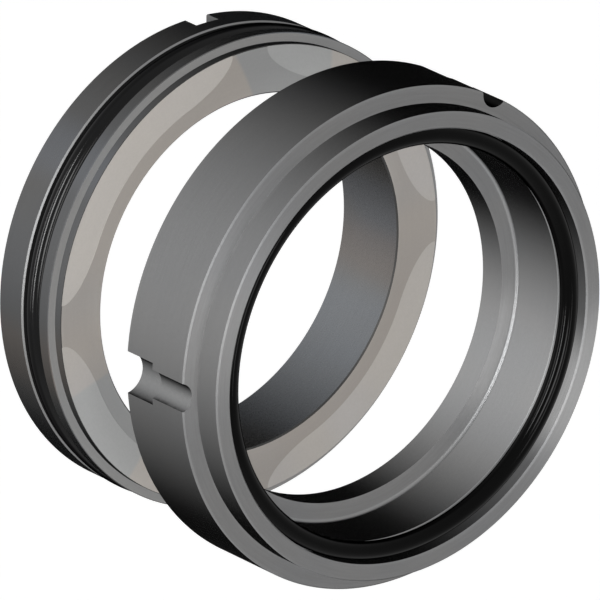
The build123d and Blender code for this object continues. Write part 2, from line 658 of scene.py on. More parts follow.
class Bench:
    """The modelling steps that the pieces share, done as by hand with Blender's operators."""

    @staticmethod
    def clear() -> None:
        """Leaves edit mode and deselects every object."""
        if bpy.context.object and bpy.context.object.mode != "OBJECT":
            bpy.ops.object.mode_set(mode="OBJECT")
        bpy.ops.object.select_all(action="DESELECT")

    @staticmethod
    def focus(piece: bpy.types.Object) -> None:
        """Selects one object alone and makes it active.

        Args:
            piece: the object.
        """
        Bench.clear()
        piece.select_set(True)
        bpy.context.view_layer.objects.active = piece

    @staticmethod
    def set_down(name: str) -> bpy.types.Object:
        """Names the new primitive and puts its place into its mesh.

        Args:
            name: the object's name.

        Returns:
            The object, at the origin and unturned.
        """
        piece = bpy.context.object
        piece.name = piece.data.name = name
        bpy.ops.object.transform_apply(location=True, rotation=True, scale=True)
        return piece

    @staticmethod
    def pick_rims(piece: bpy.types.Object, rims: Sequence[Point]) -> None:
        """Selects the edge loops that lie at these radii and places along the shaft.

        Args:
            piece: the object, in edit mode.
            rims: radius and place along Y of each loop, in mm.
        """
        mesh = bmesh.from_edit_mesh(piece.data)
        bpy.ops.mesh.select_all(action="DESELECT")

        def on_rim(vertex: bmesh.types.BMVert) -> Point | None:
            """Finds the loop that a vertex lies on.

            Args:
                vertex: the vertex.

            Returns:
                The loop, or None off all of them.
            """
            radius, along = math.hypot(vertex.co.x, vertex.co.z) / MM, vertex.co.y / MM
            for rim in rims:
                if abs(radius - rim[0]) < SAME_PLACE and abs(along - rim[1]) < SAME_PLACE:
                    return rim
            return None

        for edge in mesh.edges:
            ends = [on_rim(vertex) for vertex in edge.verts]
            if ends[0] is not None and ends[0] == ends[1]:
                edge.select_set(True)
        bmesh.update_edit_mesh(piece.data)

    @staticmethod
    def grow(growth: float, along: float) -> None:
        """Scales what is selected away from the shaft, about this place in mm along it."""
        bpy.ops.transform.resize(value=(growth, 1, growth), center_override=(0, along * MM, 0))

    @staticmethod
    def turn(name: str, profile: Sequence[Point], steps: int) -> bpy.types.Object:
        """Draws a ring's outline round the shaft as one loop pulled from corner to corner.

        Args:
            name: the object's name.
            profile: corners as radius and place along Y, in mm.
            steps: divisions round the shaft.

        Returns:
            The closed blank.
        """
        Bench.clear()
        radius, along = profile[0]
        bpy.ops.mesh.primitive_circle_add(
            vertices=steps, radius=radius * MM, location=(0, along * MM, 0), rotation=ALONG_SHAFT
        )
        blank = Bench.set_down(name)
        bpy.ops.object.mode_set(mode="EDIT")
        bpy.ops.mesh.select_mode(type="EDGE")
        bpy.ops.mesh.select_all(action="SELECT")
        for (radius, along), (next_radius, next_along) in zip(profile, profile[1:]):
            step = (0, (next_along - along) * MM, 0)
            bpy.ops.mesh.extrude_edges_move(TRANSFORM_OT_translate={"value": step})
            Bench.grow(next_radius / radius, next_along)
        Bench.pick_rims(blank, (profile[0], profile[-1]))
        bpy.ops.mesh.bridge_edge_loops()
        bpy.ops.mesh.select_all(action="SELECT")
        bpy.ops.mesh.normals_make_consistent(inside=False)
        bpy.ops.object.mode_set(mode="OBJECT")
        return blank

    @staticmethod
    def break_rims(piece: bpy.types.Object, rims: Sequence[Rim], area: IntEnum) -> None:
        """Bevels circular edges, one size at a time.

        Args:
            piece: the turned blank.
            rims: the edges and the size of their breaks.
            area: the area whose finish the new faces take.
        """
        Bench.focus(piece)
        bpy.ops.object.mode_set(mode="EDIT")
        for size, segments in sorted({(rim.size, rim.segments) for rim in rims}):
            chosen = [(r.radius, r.along) for r in rims if (r.size, r.segments) == (size, segments)]
            Bench.pick_rims(piece, chosen)
            bpy.ops.mesh.bevel(
                offset=size * MM, segments=segments, affect="EDGES", clamp_overlap=False, material=int(area)
            )
        bpy.ops.object.mode_set(mode="OBJECT")

    @staticmethod
    def coat(piece: bpy.types.Object, finishes: dict[IntEnum, CarbideFinish], effects: Effects) -> None:
        """Gives a piece its materials, in the order of its areas."""
        for area in sorted(finishes):
            piece.data.materials.append(finishes[area].material(effects))

    @staticmethod
    def dress(piece: bpy.types.Object, choose: Callable[[FaceSpot], IntEnum | None]) -> None:
        """Gives each face its finish by where it lies.

        Args:
            piece: the object, in object mode.
            choose: gives the area of a face's spot, or None to leave the face as it is.
        """
        for face in piece.data.polygons:
            radius = math.hypot(face.center.x, face.center.z)
            outward = (face.normal.x * face.center.x + face.normal.z * face.center.z) / radius
            area = choose(FaceSpot(radius / MM, face.center.y / MM, outward, face.normal.y))
            if area is not None:
                face.material_index = int(area)

    @staticmethod
    def cut(piece: bpy.types.Object, cutter: bpy.types.Object, area: IntEnum) -> None:
        """Cuts one solid out of another.

        Args:
            piece: what is cut.
            cutter: the solid that is taken away, and is gone afterwards.
            area: the area of the piece whose finish the new faces take.
        """
        cutter.data.materials.append(piece.data.materials[area])
        Bench.focus(piece)
        bpy.ops.object.modifier_add(type="BOOLEAN")
        cut = piece.modifiers[-1]
        cut.operation, cut.solver, cut.object = "DIFFERENCE", "EXACT", cutter
        cut.material_mode = "TRANSFER"
        bpy.ops.object.modifier_apply(modifier=cut.name)
        bpy.data.objects.remove(cutter, do_unlink=True)

    @staticmethod
    def trace(name: str, outline: Sequence[Point], start: float, end: float) -> bpy.types.Object:
        """Draws a prism along the shaft from an outline of points.

        Args:
            name: the object's name.
            outline: corners as X and Z, in mm.
            start: where the prism starts along Y.
            end: where it ends.

        Returns:
            The prism.
        """
        Bench.clear()
        x, z = outline[0]
        bpy.ops.mesh.primitive_plane_add(size=MM, location=(x * MM, start * MM, z * MM))
        prism = Bench.set_down(name)
        bpy.ops.object.mode_set(mode="EDIT")
        bpy.ops.mesh.select_mode(type="VERT")
        bpy.ops.mesh.select_all(action="SELECT")
        bpy.ops.mesh.merge(type="CENTER")
        for (x, z), (next_x, next_z) in zip(outline, outline[1:]):
            step = ((next_x - x) * MM, 0, (next_z - z) * MM)
            bpy.ops.mesh.extrude_vertices_move(TRANSFORM_OT_translate={"value": step})
        bpy.ops.mesh.select_all(action="SELECT")
        bpy.ops.mesh.edge_face_add()
        bpy.ops.mesh.extrude_region_move(TRANSFORM_OT_translate={"value": (0, (end - start) * MM, 0)})
        bpy.ops.mesh.select_all(action="SELECT")
        bpy.ops.mesh.normals_make_consistent(inside=False)
        bpy.ops.object.mode_set(mode="OBJECT")
        return prism

    @staticmethod
    def finish(piece: bpy.types.Object, body: Body, node: str, slot: Slot) -> None:
        """Smooths a piece between its sharp edges and hands it to the frame.

        Args:
            piece: the finished mesh.
            body: the body it rides on.
            node: the frame's node that it stands for.
            slot: the record's material slot.
        """
        Bench.focus(piece)
        bpy.ops.object.shade_smooth_by_angle(angle=SMOOTH_ANGLE)
        if slot is not Slot.RUBBER:
            bpy.ops.object.modifier_add(type="WEIGHTED_NORMAL")
            piece.modifiers[-1].keep_sharp = True
            bpy.ops.object.modifier_apply(modifier=piece.modifiers[-1].name)
        Bench.clear()
        piece.visible_glossy = False  # the rings mirror the room, and neither themselves nor each other
        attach(piece, body.value)
        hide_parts(node)


# ---------------------------------------------------------------- the seat


@dataclass
class StationarySeat:
    """Seat: a ground ring with the O-ring's groove, a pin notch and a lobed, lapped face.

    The first four sizes are radii, and those from groove_rear to running_face are places along the shaft.
    """

    bore: float = 36.1
    face: float = 45.8
    outside: float = 47.6
    groove_floor: float = 44.17
    groove_rear: float = -7.25
    groove_front: float = -12.65
    shoulder: float = -15.2
    running_face: float = -17.0
    edge_break: float = 0.3
    lapped_edge_break: float = 0.15
    notch_width: float = 5.35
    notch_length: float = 3.8
    notch_depth: float = 2.8
    lobe_count: int = 4
    lobe_recess: float = 0.05
    dam_width: float = 3.5
    land_angle: float = 10.8
    corner_length: float = 13.2
    corner_width: float = 4.45
    steps: int = 360  # divisions of a whole turn
    dam_steps: int = 44  # of a lobe's outline along the dam
    corner_steps: int = 30  # of each of its corners
    rim_steps: int = 40  # and of its outer side

    def finishes(self) -> dict[SeatArea, CarbideFinish]:
        """Lists the seat's finishes; a plain number after the colours is roughness, then metallic.

        Returns:
            The finish of each area.
        """
        ground = ((0.12, 0.118, 0.116), (0.115, 0.117, 0.12), 0.24)
        # bluish and brownish wedges round the rim: painted reflections
        painted_rim_reflections = (
            Tint(Wedge(-50.0, 2.0, 9.0), 0.9, (0.138, 0.143, 0.153)),
            Tint(Wedge(-101.0, 3.0, 9.0), 0.9, (0.146, 0.131, 0.12)),
            Tint(Wedge(40.0, 20.0, 30.0), 0.7, (0.126, 0.132, 0.146)),
            Tint(Wedge(165.0, 20.0, 30.0), 0.7, (0.148, 0.138, 0.129)),
        )
        # the lapped face paler at the left and darker at the right as painted light, and greyer in two
        # wedges as painted reflections
        land_painted_reflections = (
            Tint(Wedge(-30.0, 30.0, 30.0), 0.8, (0.385, 0.352, 0.321)),
            Tint(Wedge(135.0, 25.0, 25.0), 0.8, (0.335, 0.306, 0.28)),
            *self.grey_painted_reflections((0.298, 0.304, 0.306)),
        )
        lobe_painted_reflections = (
            Tint(Wedge(-42.0, 30.0, 30.0), 0.8, (0.56, 0.527, 0.488)),
            *self.grey_painted_reflections((0.4, 0.407, 0.407)),
        )
        # a bluish and a brownish wedge in the bore: painted reflections
        bore_painted_reflections = (
            Tint(Wedge(140.0, 22.0, 16.0), 0.85, (0.178, 0.188, 0.202)),
            Tint(Wedge(100.0, 3.0, 9.0), 0.7, (0.19, 0.172, 0.163)),
        )
        return {
            SeatArea.RIM: CarbideFinish(
                "seat ground rim", *ground, turns=2.6, ends=(0.0, self.groove_rear), rub_and_shade=0.15, painted_tints=painted_rim_reflections
            ),
            SeatArea.FRONT_RIM: CarbideFinish(
                "seat ground rim front", *ground, turns=2.6, rub_and_shade=0.0, painted_tints=painted_rim_reflections
            ),
            SeatArea.LAND: CarbideFinish(
                "seat lapped land", (0.37, 0.338, 0.308), (0.353, 0.332, 0.313), 0.4, 0.35, spacing=0.6,
                marks=0.06, speckle=0.12, radii=(self.bore, self.face), rub_and_shade=0.12, painted_tints=land_painted_reflections,
            ),
            SeatArea.LOBE: CarbideFinish(
                "seat lobe floor", (0.475, 0.446, 0.413), (0.457, 0.436, 0.42), 0.42, 0.35, spacing=0.6,
                marks=0.04, speckle=0.16, rub_and_shade=0.0, painted_tints=lobe_painted_reflections,
            ),
            SeatArea.SHOULDER: CarbideFinish(
                "seat shoulder", (0.25, 0.247, 0.243), (0.243, 0.246, 0.247), 0.4, 0.5, rub_and_shade=0.0, turns=1.2
            ),
            SeatArea.BORE: CarbideFinish(
                "seat bore", (0.175, 0.168, 0.16), (0.168, 0.172, 0.182), 0.28, turns=3.0, rub_and_shade=0.1,
                painted_tints=bore_painted_reflections,
            ),
            # the groove nearly black: painted shade in the recess
            SeatArea.GROOVE: CarbideFinish(
                "seat groove", (0.008, 0.008, 0.008), (0.006, 0.006, 0.006), 0.45, 1.0, marks=0.3, rub_and_shade=0.0
            ),
            SeatArea.BACK: CarbideFinish(
                "seat back", (0.15, 0.148, 0.145), (0.14, 0.141, 0.143), 0.48, 0.6, marks=0.2,
                radii=(self.bore, self.outside),
            ),
            SeatArea.BROKEN_EDGE: CarbideFinish(
                "seat broken edge", (0.195, 0.194, 0.192), (0.187, 0.188, 0.19), 0.4, marks=0.1, rub_and_shade=0.0
            ),
            SeatArea.LAPPED_EDGE: CarbideFinish(
                "seat lapped edge", (0.05, 0.049, 0.047), (0.044, 0.044, 0.044), 0.3, marks=0.1, rub_and_shade=0.0
            ),
        }

    @staticmethod
    def grey_painted_reflections(colour: Colour) -> tuple[Tint, ...]:
        """The two greyer parts of the lapped face, in this colour: painted reflections."""
        leaning = Wedge(13.5, 14.5, 1.5, lean=-0.6, middle=41.0)
        return Tint(leaning, 0.9, colour), Tint(Wedge(-124.5, 14.5, 1.5), 0.9, colour)

    def lobe_outline(self) -> list[Point]:
        """Outline of one lobe, centred on +X: an arc round the dam, with a quarter ellipse at each end.

        Returns:
            Points as X and Z, in mm.
        """
        dam = self.bore + self.dam_width
        centre = dam + self.corner_width
        half_span = (360.0 / self.lobe_count - self.land_angle) / 2
        corner = half_span - math.degrees(math.atan2(self.corner_length, centre))
        outer = self.face + OVER

        def polar(radius: float, angle: float) -> Point:
            """Point at this radius and angle from +X towards +Z."""
            return radius * math.cos(math.radians(angle)), radius * math.sin(math.radians(angle))

        def arc(radius: float, start: float, end: float, steps: int) -> list[Point]:
            """Points of an arc, with both ends."""
            return [polar(radius, start + (end - start) * i / steps) for i in range(steps + 1)]

        def ellipse(side: int, turn: float) -> Point:
            """Finds a point of a corner.

            Args:
                side: 1 for the corner towards +Z, -1 for the other.
                turn: degrees from the dam to the rim.

            Returns:
                The point.
            """
            out = centre - self.corner_width * math.cos(math.radians(turn))
            across = side * self.corner_length * math.sin(math.radians(turn))
            radius, angle = math.hypot(out, across), math.degrees(math.atan2(across, out))
            return polar(radius, angle + side * corner)

        turns = [90 * i / self.corner_steps for i in range(1, self.corner_steps + 1)]
        rising = [ellipse(1, turn) for turn in turns]
        falling = [ellipse(-1, turn) for turn in reversed(turns)]
        along_dam = arc(dam, -corner, corner, self.dam_steps)
        return along_dam + rising + arc(outer, half_span, -half_span, self.rim_steps) + falling

    def blank(self) -> bpy.types.Object:
        """Turns the seat, before its rims are broken.

        Returns:
            The blank.
        """
        profile = (
            (self.bore, 0.0),
            (self.outside, 0.0),
            (self.outside, self.groove_rear),
            (self.groove_floor, self.groove_rear),
            (self.groove_floor, self.groove_front),
            (self.outside, self.groove_front),
            (self.outside, self.shoulder),
            (self.face, self.shoulder),
            (self.face, self.running_face),
            (self.bore, self.running_face),
        )
        return Bench.turn("seat", profile, self.steps)

    def break_edges(self, seat: bpy.types.Object) -> None:
        """Breaks the rims; the shoulder's keeps the finish of the round face beside it.

        Args:
            seat: the blank, with its materials.
        """
        ground_rims = (
            Rim(self.outside, 0.0, self.edge_break),
            Rim(self.outside, self.groove_rear, self.edge_break),
            Rim(self.bore, 0.0, self.edge_break),
        )
        lapped_rims = (
            Rim(self.bore, self.running_face, self.edge_break),
            Rim(self.face, self.running_face, self.lapped_edge_break),
        )
        shoulder_rims = (Rim(self.outside, self.shoulder, self.lapped_edge_break),)
        Bench.break_rims(seat, ground_rims, SeatArea.BROKEN_EDGE)
        Bench.break_rims(seat, lapped_rims, SeatArea.LAPPED_EDGE)
        Bench.break_rims(seat, shoulder_rims, SeatArea.FRONT_RIM)

    def area_at(self, spot: FaceSpot) -> SeatArea | None:
        """Finds the area that a face of the blank belongs to.

        Args:
            spot: where the face lies.

        Returns:
            The area, or None for a broken edge.
        """
        if spot.is_round(self.outside):
            return SeatArea.RIM if spot.along > self.groove_rear else SeatArea.FRONT_RIM
        if spot.is_round(self.face):
            return SeatArea.FRONT_RIM
        if spot.is_round(self.bore):
            return SeatArea.BORE
        if spot.is_flat(self.running_face):
            return SeatArea.LAND
        if spot.is_flat(self.shoulder):
            return SeatArea.SHOULDER
        if spot.is_flat(0.0):
            return SeatArea.BACK
        in_groove = self.groove_front - SAME_PLACE < spot.along < self.groove_rear + SAME_PLACE
        if in_groove and spot.radius < self.outside - SAME_PLACE:
            return SeatArea.GROOVE
        return None

    def build(self, effects: Effects) -> bpy.types.Object:
        """Makes the seat and hands it to the frame.

        Args:
            effects: the shared node groups.

        Returns:
            The seat.
        """
        seat = self.blank()
        Bench.coat(seat, self.finishes(), effects)
        self.break_edges(seat)
        Bench.dress(seat, self.area_at)
        self.cut_notch(seat)
        self.cut_lobes(seat)
        Bench.finish(seat, Body.STATIONARY, "stationary_seat", Slot.SEAT_CARBIDE)
        return seat

    def cut_notch(self, seat: bpy.types.Object) -> None:
        """Cuts the notch for the pin that keeps the seat from turning.

        Args:
            seat: the seat, with its materials.
        """
        Bench.clear()
        bpy.ops.mesh.primitive_cube_add(
            size=1,
            location=(0, (OVER - self.notch_length) / 2 * MM, self.outside * MM),
            scale=(self.notch_width * MM, (self.notch_length + OVER) * MM, 2 * self.notch_depth * MM),
        )
        Bench.cut(seat, Bench.set_down("notch cutter"), SeatArea.BACK)

    def cut_lobes(self, seat: bpy.types.Object) -> None:
        """Sinks the shallow lobes into the lapped face.

        Args:
            seat: the seat, with its materials.
        """
        floor = self.running_face + self.lobe_recess
        pattern = Bench.trace("lobe cutter", self.lobe_outline(), self.running_face - OVER, floor)
        for index in range(self.lobe_count):
            Bench.focus(pattern)
            bpy.ops.object.duplicate()
            cutter = bpy.context.object
            cutter.rotation_euler[1] = math.radians((index + 0.5) * 360 / self.lobe_count)
            bpy.ops.object.transform_apply(location=False, rotation=True, scale=False)
            Bench.cut(seat, cutter, SeatArea.LOBE)
        bpy.data.objects.remove(pattern, do_unlink=True)


# ---------------------------------------------------------------- the rotating ring


@dataclass
class RotatingRing:
    """Rotating ring: a flange with the running face, a float bore, an O-ring pocket and drive slots.

    The first five sizes are radii, and those from running_face to front are places along the shaft.
    """

    bore: float = 36.3
    float_bore: float = 40.1
    pocket: float = 43.2
    nose: float = 46.55
    outside: float = 50.0
    running_face: float = -42.9
    flange_front: float = -48.85
    shoulder: float = -60.2
    pocket_end: float = -61.3
    front: float = -66.15
    edge_break: float = 0.3
    lapped_edge_break: float = 0.15
    root_radius: float = 0.6
    root_steps: int = 6  # faces across the root's rounding
    slot_angles: tuple[float, ...] = (-90.0, 30.0, 150.0)
    slot_radius: float = 3.03
    slot_depth: float = 2.2
    mouth_radius: float = 4.3
    mouth_depth: float = 3.85
    mouth_length: float = 7.9
    slot_steps: int = 96  # divisions of a slot's cutter
    steps: int = 360  # divisions of a whole turn of the ring

    def finishes(self) -> dict[RingArea, CarbideFinish]:
        """Lists the ring's finishes; a plain number after the colours is roughness, then metallic.

        Returns:
            The finish of each area.
        """
        dark = ((0.216, 0.215, 0.214), (0.208, 0.209, 0.211), 0.22, 1.0)
        # the bores paler than the rim: a honed finish, and painted light for what they gather from each
        # other
        honed_and_lit = ((0.312, 0.31, 0.308), (0.3, 0.302, 0.305), 0.22, 1.0)
        # painted shade in the drive slots: the whole slot at the second angle, and the upper side of the
        # first
        painted_slot_shade = (
            Tint(Wedge(self.slot_angles[1], 8.0, 0.5), 0.97, (0.004, 0.004, 0.004)),
            Tint(Wedge(self.slot_angles[0] + 4.3, 1.7, 0.4), 0.97, (0.003, 0.003, 0.003)),
        )
        return {
            RingArea.RIM: CarbideFinish(
                "ring ground rim", *dark, rub_and_shade=0.15, ends=(self.running_face, self.shoulder)
            ),
            RingArea.NOSE: CarbideFinish("ring nose", *dark, rub_and_shade=0.15, ends=(self.shoulder, self.front)),
            RingArea.SHOULDER: self.faced("ring faced shoulder", self.nose, self.outside),
            RingArea.END: self.faced("ring faced end", self.pocket, self.nose),
            RingArea.FLOAT_BORE: CarbideFinish("ring float bore", *honed_and_lit, marks=0.1, rub_and_shade=0.0),
            RingArea.BORE: CarbideFinish("ring inner bore", *honed_and_lit, marks=0.1, rub_and_shade=0.0),
            RingArea.FLANGE_FRONT: self.faced("ring flange front", self.bore, self.float_bore),
            # the pocket darker than the rim as painted shade in the recess, with a painted highlight in a
            # wedge at 116°
            RingArea.POCKET: CarbideFinish(
                "ring pocket", (0.13, 0.13, 0.13), (0.12, 0.121, 0.123), 0.25, 1.0, marks=0.3, rub_and_shade=0.0,
                painted_tints=(Tint(Wedge(116.0, 6.0, 16.0), 0.9, (0.34, 0.34, 0.34)),),
            ),
            RingArea.RUNNING_FACE: CarbideFinish(
                "ring lapped face", (0.3, 0.285, 0.27), (0.285, 0.278, 0.27), 0.34, 0.7, spacing=0.6,
                marks=0.06, radii=(self.bore, self.outside), rub_and_shade=0.12,
            ),
            # the slot darkens towards the rim as painted shade, under the painted shade of the wedges above
            RingArea.DRIVE_SLOT: CarbideFinish(
                "ring drive slot", (0.23, 0.23, 0.23), (0.21, 0.212, 0.214), 0.24, 1.0, marks=0.3,
                rub_and_shade=-0.9, radii=(FAR, self.outside), painted_tints=painted_slot_shade,
            ),
            RingArea.BROKEN_EDGE: CarbideFinish(
                "ring broken edge", (0.19, 0.19, 0.19), (0.18, 0.182, 0.185), 0.36, 0.95, marks=0.1, rub_and_shade=0.0
            ),
            RingArea.ROOT: CarbideFinish(
                "ring root", (0.2, 0.2, 0.2), (0.19, 0.192, 0.195), 0.42, 0.95, marks=0.1, rub_and_shade=0.0
            ),
        }

    @staticmethod
    def faced(name: str, inner: float, outer: float) -> CarbideFinish:
        """The finish that facing leaves on a flat ring, with a painted highlight on one side.

        Args:
            name: the finish's name.
            inner: radius of the flat's inner edge.
            outer: radius of its outer edge.

        Returns:
            The finish.
        """
        # a paler wedge at 113°: painted highlight of the fan that the marks throw
        painted_fan_highlight = Tint(Wedge(113.0, 10.0, 16.0), 0.8, (0.245, 0.245, 0.245))
        return CarbideFinish(
            name, (0.168, 0.167, 0.166), (0.161, 0.162, 0.164), 0.4, 0.8, marks=0.3, rub_and_shade=0.1,
            radii=(inner, outer), painted_tints=(painted_fan_highlight,), across=0.75,
        )

    def blank(self) -> bpy.types.Object:
        """Turns the ring, before its rims are broken.

        Returns:
            The blank.
        """
        profile = (
            (self.bore, self.running_face),
            (self.outside, self.running_face),
            (self.outside, self.shoulder),
            (self.nose, self.shoulder),
            (self.nose, self.front),
            (self.pocket, self.front),
            (self.pocket, self.pocket_end),
            (self.float_bore, self.pocket_end),
            (self.float_bore, self.flange_front),
            (self.bore, self.flange_front),
        )
        return Bench.turn("ring", profile, self.steps)

    def break_edges(self, ring: bpy.types.Object) -> None:
        """Rounds the root between flange and float bore, and breaks the rims.

        Args:
            ring: the blank, with its materials.
        """
        root = Rim(self.float_bore, self.flange_front, self.root_radius, self.root_steps)
        rims = (
            Rim(self.outside, self.shoulder, self.edge_break),
            Rim(self.nose, self.front, self.edge_break),
            Rim(self.pocket, self.front, self.edge_break),
            Rim(self.float_bore, self.pocket_end, self.lapped_edge_break),
            Rim(self.outside, self.running_face, self.lapped_edge_break),
            Rim(self.bore, self.running_face, self.lapped_edge_break),
        )
        Bench.break_rims(ring, (root,), RingArea.ROOT)
        Bench.break_rims(ring, rims, RingArea.BROKEN_EDGE)

    def area_at(self, spot: FaceSpot) -> RingArea | None:
        """Finds the area that a face of the blank belongs to.

        Args:
            spot: where the face lies.

        Returns:
            The area, or None for a broken edge.
        """
        rounds = {
            self.outside: RingArea.RIM,
            self.nose: RingArea.NOSE,
            self.float_bore: RingArea.FLOAT_BORE,
            self.bore: RingArea.BORE,
            self.pocket: RingArea.POCKET,
        }
        flats = {
            self.shoulder: RingArea.SHOULDER,
            self.front: RingArea.END,
            self.flange_front: RingArea.FLANGE_FRONT,
            self.pocket_end: RingArea.POCKET,
            self.running_face: RingArea.RUNNING_FACE,
        }
        for radius, area in rounds.items():
            if spot.is_round(radius):
                return area
        for along, area in flats.items():
            if spot.is_flat(along):
                return area
        return None

    def build(self, effects: Effects) -> bpy.types.Object:
        """Makes the rotating ring and hands it to the frame.

        Args:
            effects: the shared node groups.

        Returns:
            The ring.
        """
        ring = self.blank()
        Bench.coat(ring, self.finishes(), effects)
        self.break_edges(ring)
        Bench.dress(ring, self.area_at)
        band_length = self.running_face - self.shoulder
        for angle in self.slot_angles:
            self.cut_slot(ring, angle, self.slot_radius, self.slot_depth, band_length + OVER)
            self.cut_slot(ring, angle, self.mouth_radius, self.mouth_depth, self.mouth_length)
        Bench.finish(ring, Body.ROTATING, "rotating_ring", Slot.RING_CARBIDE)
        return ring

    def cut_slot(
        self, ring: bpy.types.Object, angle: float, radius: float, depth: float, length: float
    ) -> None:
        """Cuts a round-bottomed slot into the rim from the running face.

        Args:
            ring: the ring that is cut.
            angle: place round the shaft, in degrees.
            radius: the cutter's radius.
            depth: how deep it goes below the rim.
            length: how far it goes from the running face.
        """
        Bench.clear()
        out = (self.outside - depth + radius) * MM
        middle = self.running_face + OVER - (length + OVER) / 2
        turned = math.radians(angle)
        bpy.ops.mesh.primitive_cylinder_add(
            vertices=self.slot_steps,
            radius=radius * MM,
            depth=(length + OVER) * MM,
            location=(out * math.sin(turned), middle * MM, out * math.cos(turned)),
            rotation=ALONG_SHAFT,
        )
        Bench.cut(ring, Bench.set_down("slot cutter"), RingArea.DRIVE_SLOT)


# ---------------------------------------------------------------- the cords


@dataclass
class SealCord:
    """A moulded O-ring with its faint flash line inside and outside."""

    name: str
    centre_radius: float
    along: float
    body: Body
    node: str
    rubber: RubberFinish
    cord: float = 3.53  # across the cord
    flash: float = 0.02  # height of the flash line
    steps: int = 288  # divisions round the ring
    sides: int = 48  # and round the cord

    def build(self, effects: Effects) -> bpy.types.Object:
        """Makes the O-ring and hands it to the frame.

        Args:
            effects: the shared node groups.

        Returns:
            The O-ring.
        """
        Bench.clear()
        bpy.ops.mesh.primitive_torus_add(
            major_segments=self.steps,
            minor_segments=self.sides,
            major_radius=self.centre_radius * MM,
            minor_radius=self.cord / 2 * MM,
            location=(0, self.along * MM, 0),
            rotation=ALONG_SHAFT,
        )
        ring = Bench.set_down(self.name)
        bpy.ops.object.mode_set(mode="EDIT")
        bpy.ops.mesh.select_mode(type="EDGE")
        for side in (1, -1):
            radius = self.centre_radius + side * self.cord / 2
            Bench.pick_rims(ring, ((radius, self.along),))
            Bench.grow((radius + side * self.flash) / radius, self.along)
        bpy.ops.object.mode_set(mode="OBJECT")
        ring.data.materials.append(self.rubber.material(effects))
        Bench.finish(ring, self.body, self.node, Slot.RUBBER)
        return ring


# ---------------------------------------------------------------- the studio


def towards(azimuth: float, elevation: float) -> Vector:
    """Unit vector from the object to a place round it: azimuth 0 looks from -Y, 90 from +X."""
    turn, rise = math.radians(azimuth), math.radians(elevation)
    return Vector((math.sin(turn) * math.cos(rise), -math.cos(turn) * math.cos(rise), math.sin(rise)))


@dataclass(frozen=True)
class SoftBox:
    """An oval soft lamp that points at the rings. Its angles are degrees as seen from them."""

    name: str
    azimuth: float
    elevation: float
    half_angle: float
    radiance: float
    stretch: float = 1.0  # height over width
    gloss_only: bool = False  # shows in gloss, without lighting dull surfaces
    distance: float = 0.9  # m
    aim: float = -0.035  # m, the place along the shaft that it points at

    def place(self) -> None:
        """Puts the lamp up; the camera doesn't see it."""
        light = bpy.data.lights.new(self.name, "AREA")
        light.shape = "ELLIPSE"
        radius = self.distance * math.tan(math.radians(self.half_angle))
        light.size, light.size_y = 2 * radius, 2 * radius * self.stretch
        light.energy = self.radiance * (math.pi * radius) ** 2 * self.stretch
        lamp = bpy.data.objects.new(self.name, light)
        bpy.context.scene.collection.objects.link(lamp)
        away = towards(self.azimuth, self.elevation)
        lamp.location = Vector((0, self.aim, 0)) + away * self.distance
        lamp.rotation_mode = "QUATERNION"
        lamp.rotation_quaternion = away.to_track_quat("Z", "Y")
        lamp.visible_camera = False
        lamp.visible_diffuse = not self.gloss_only


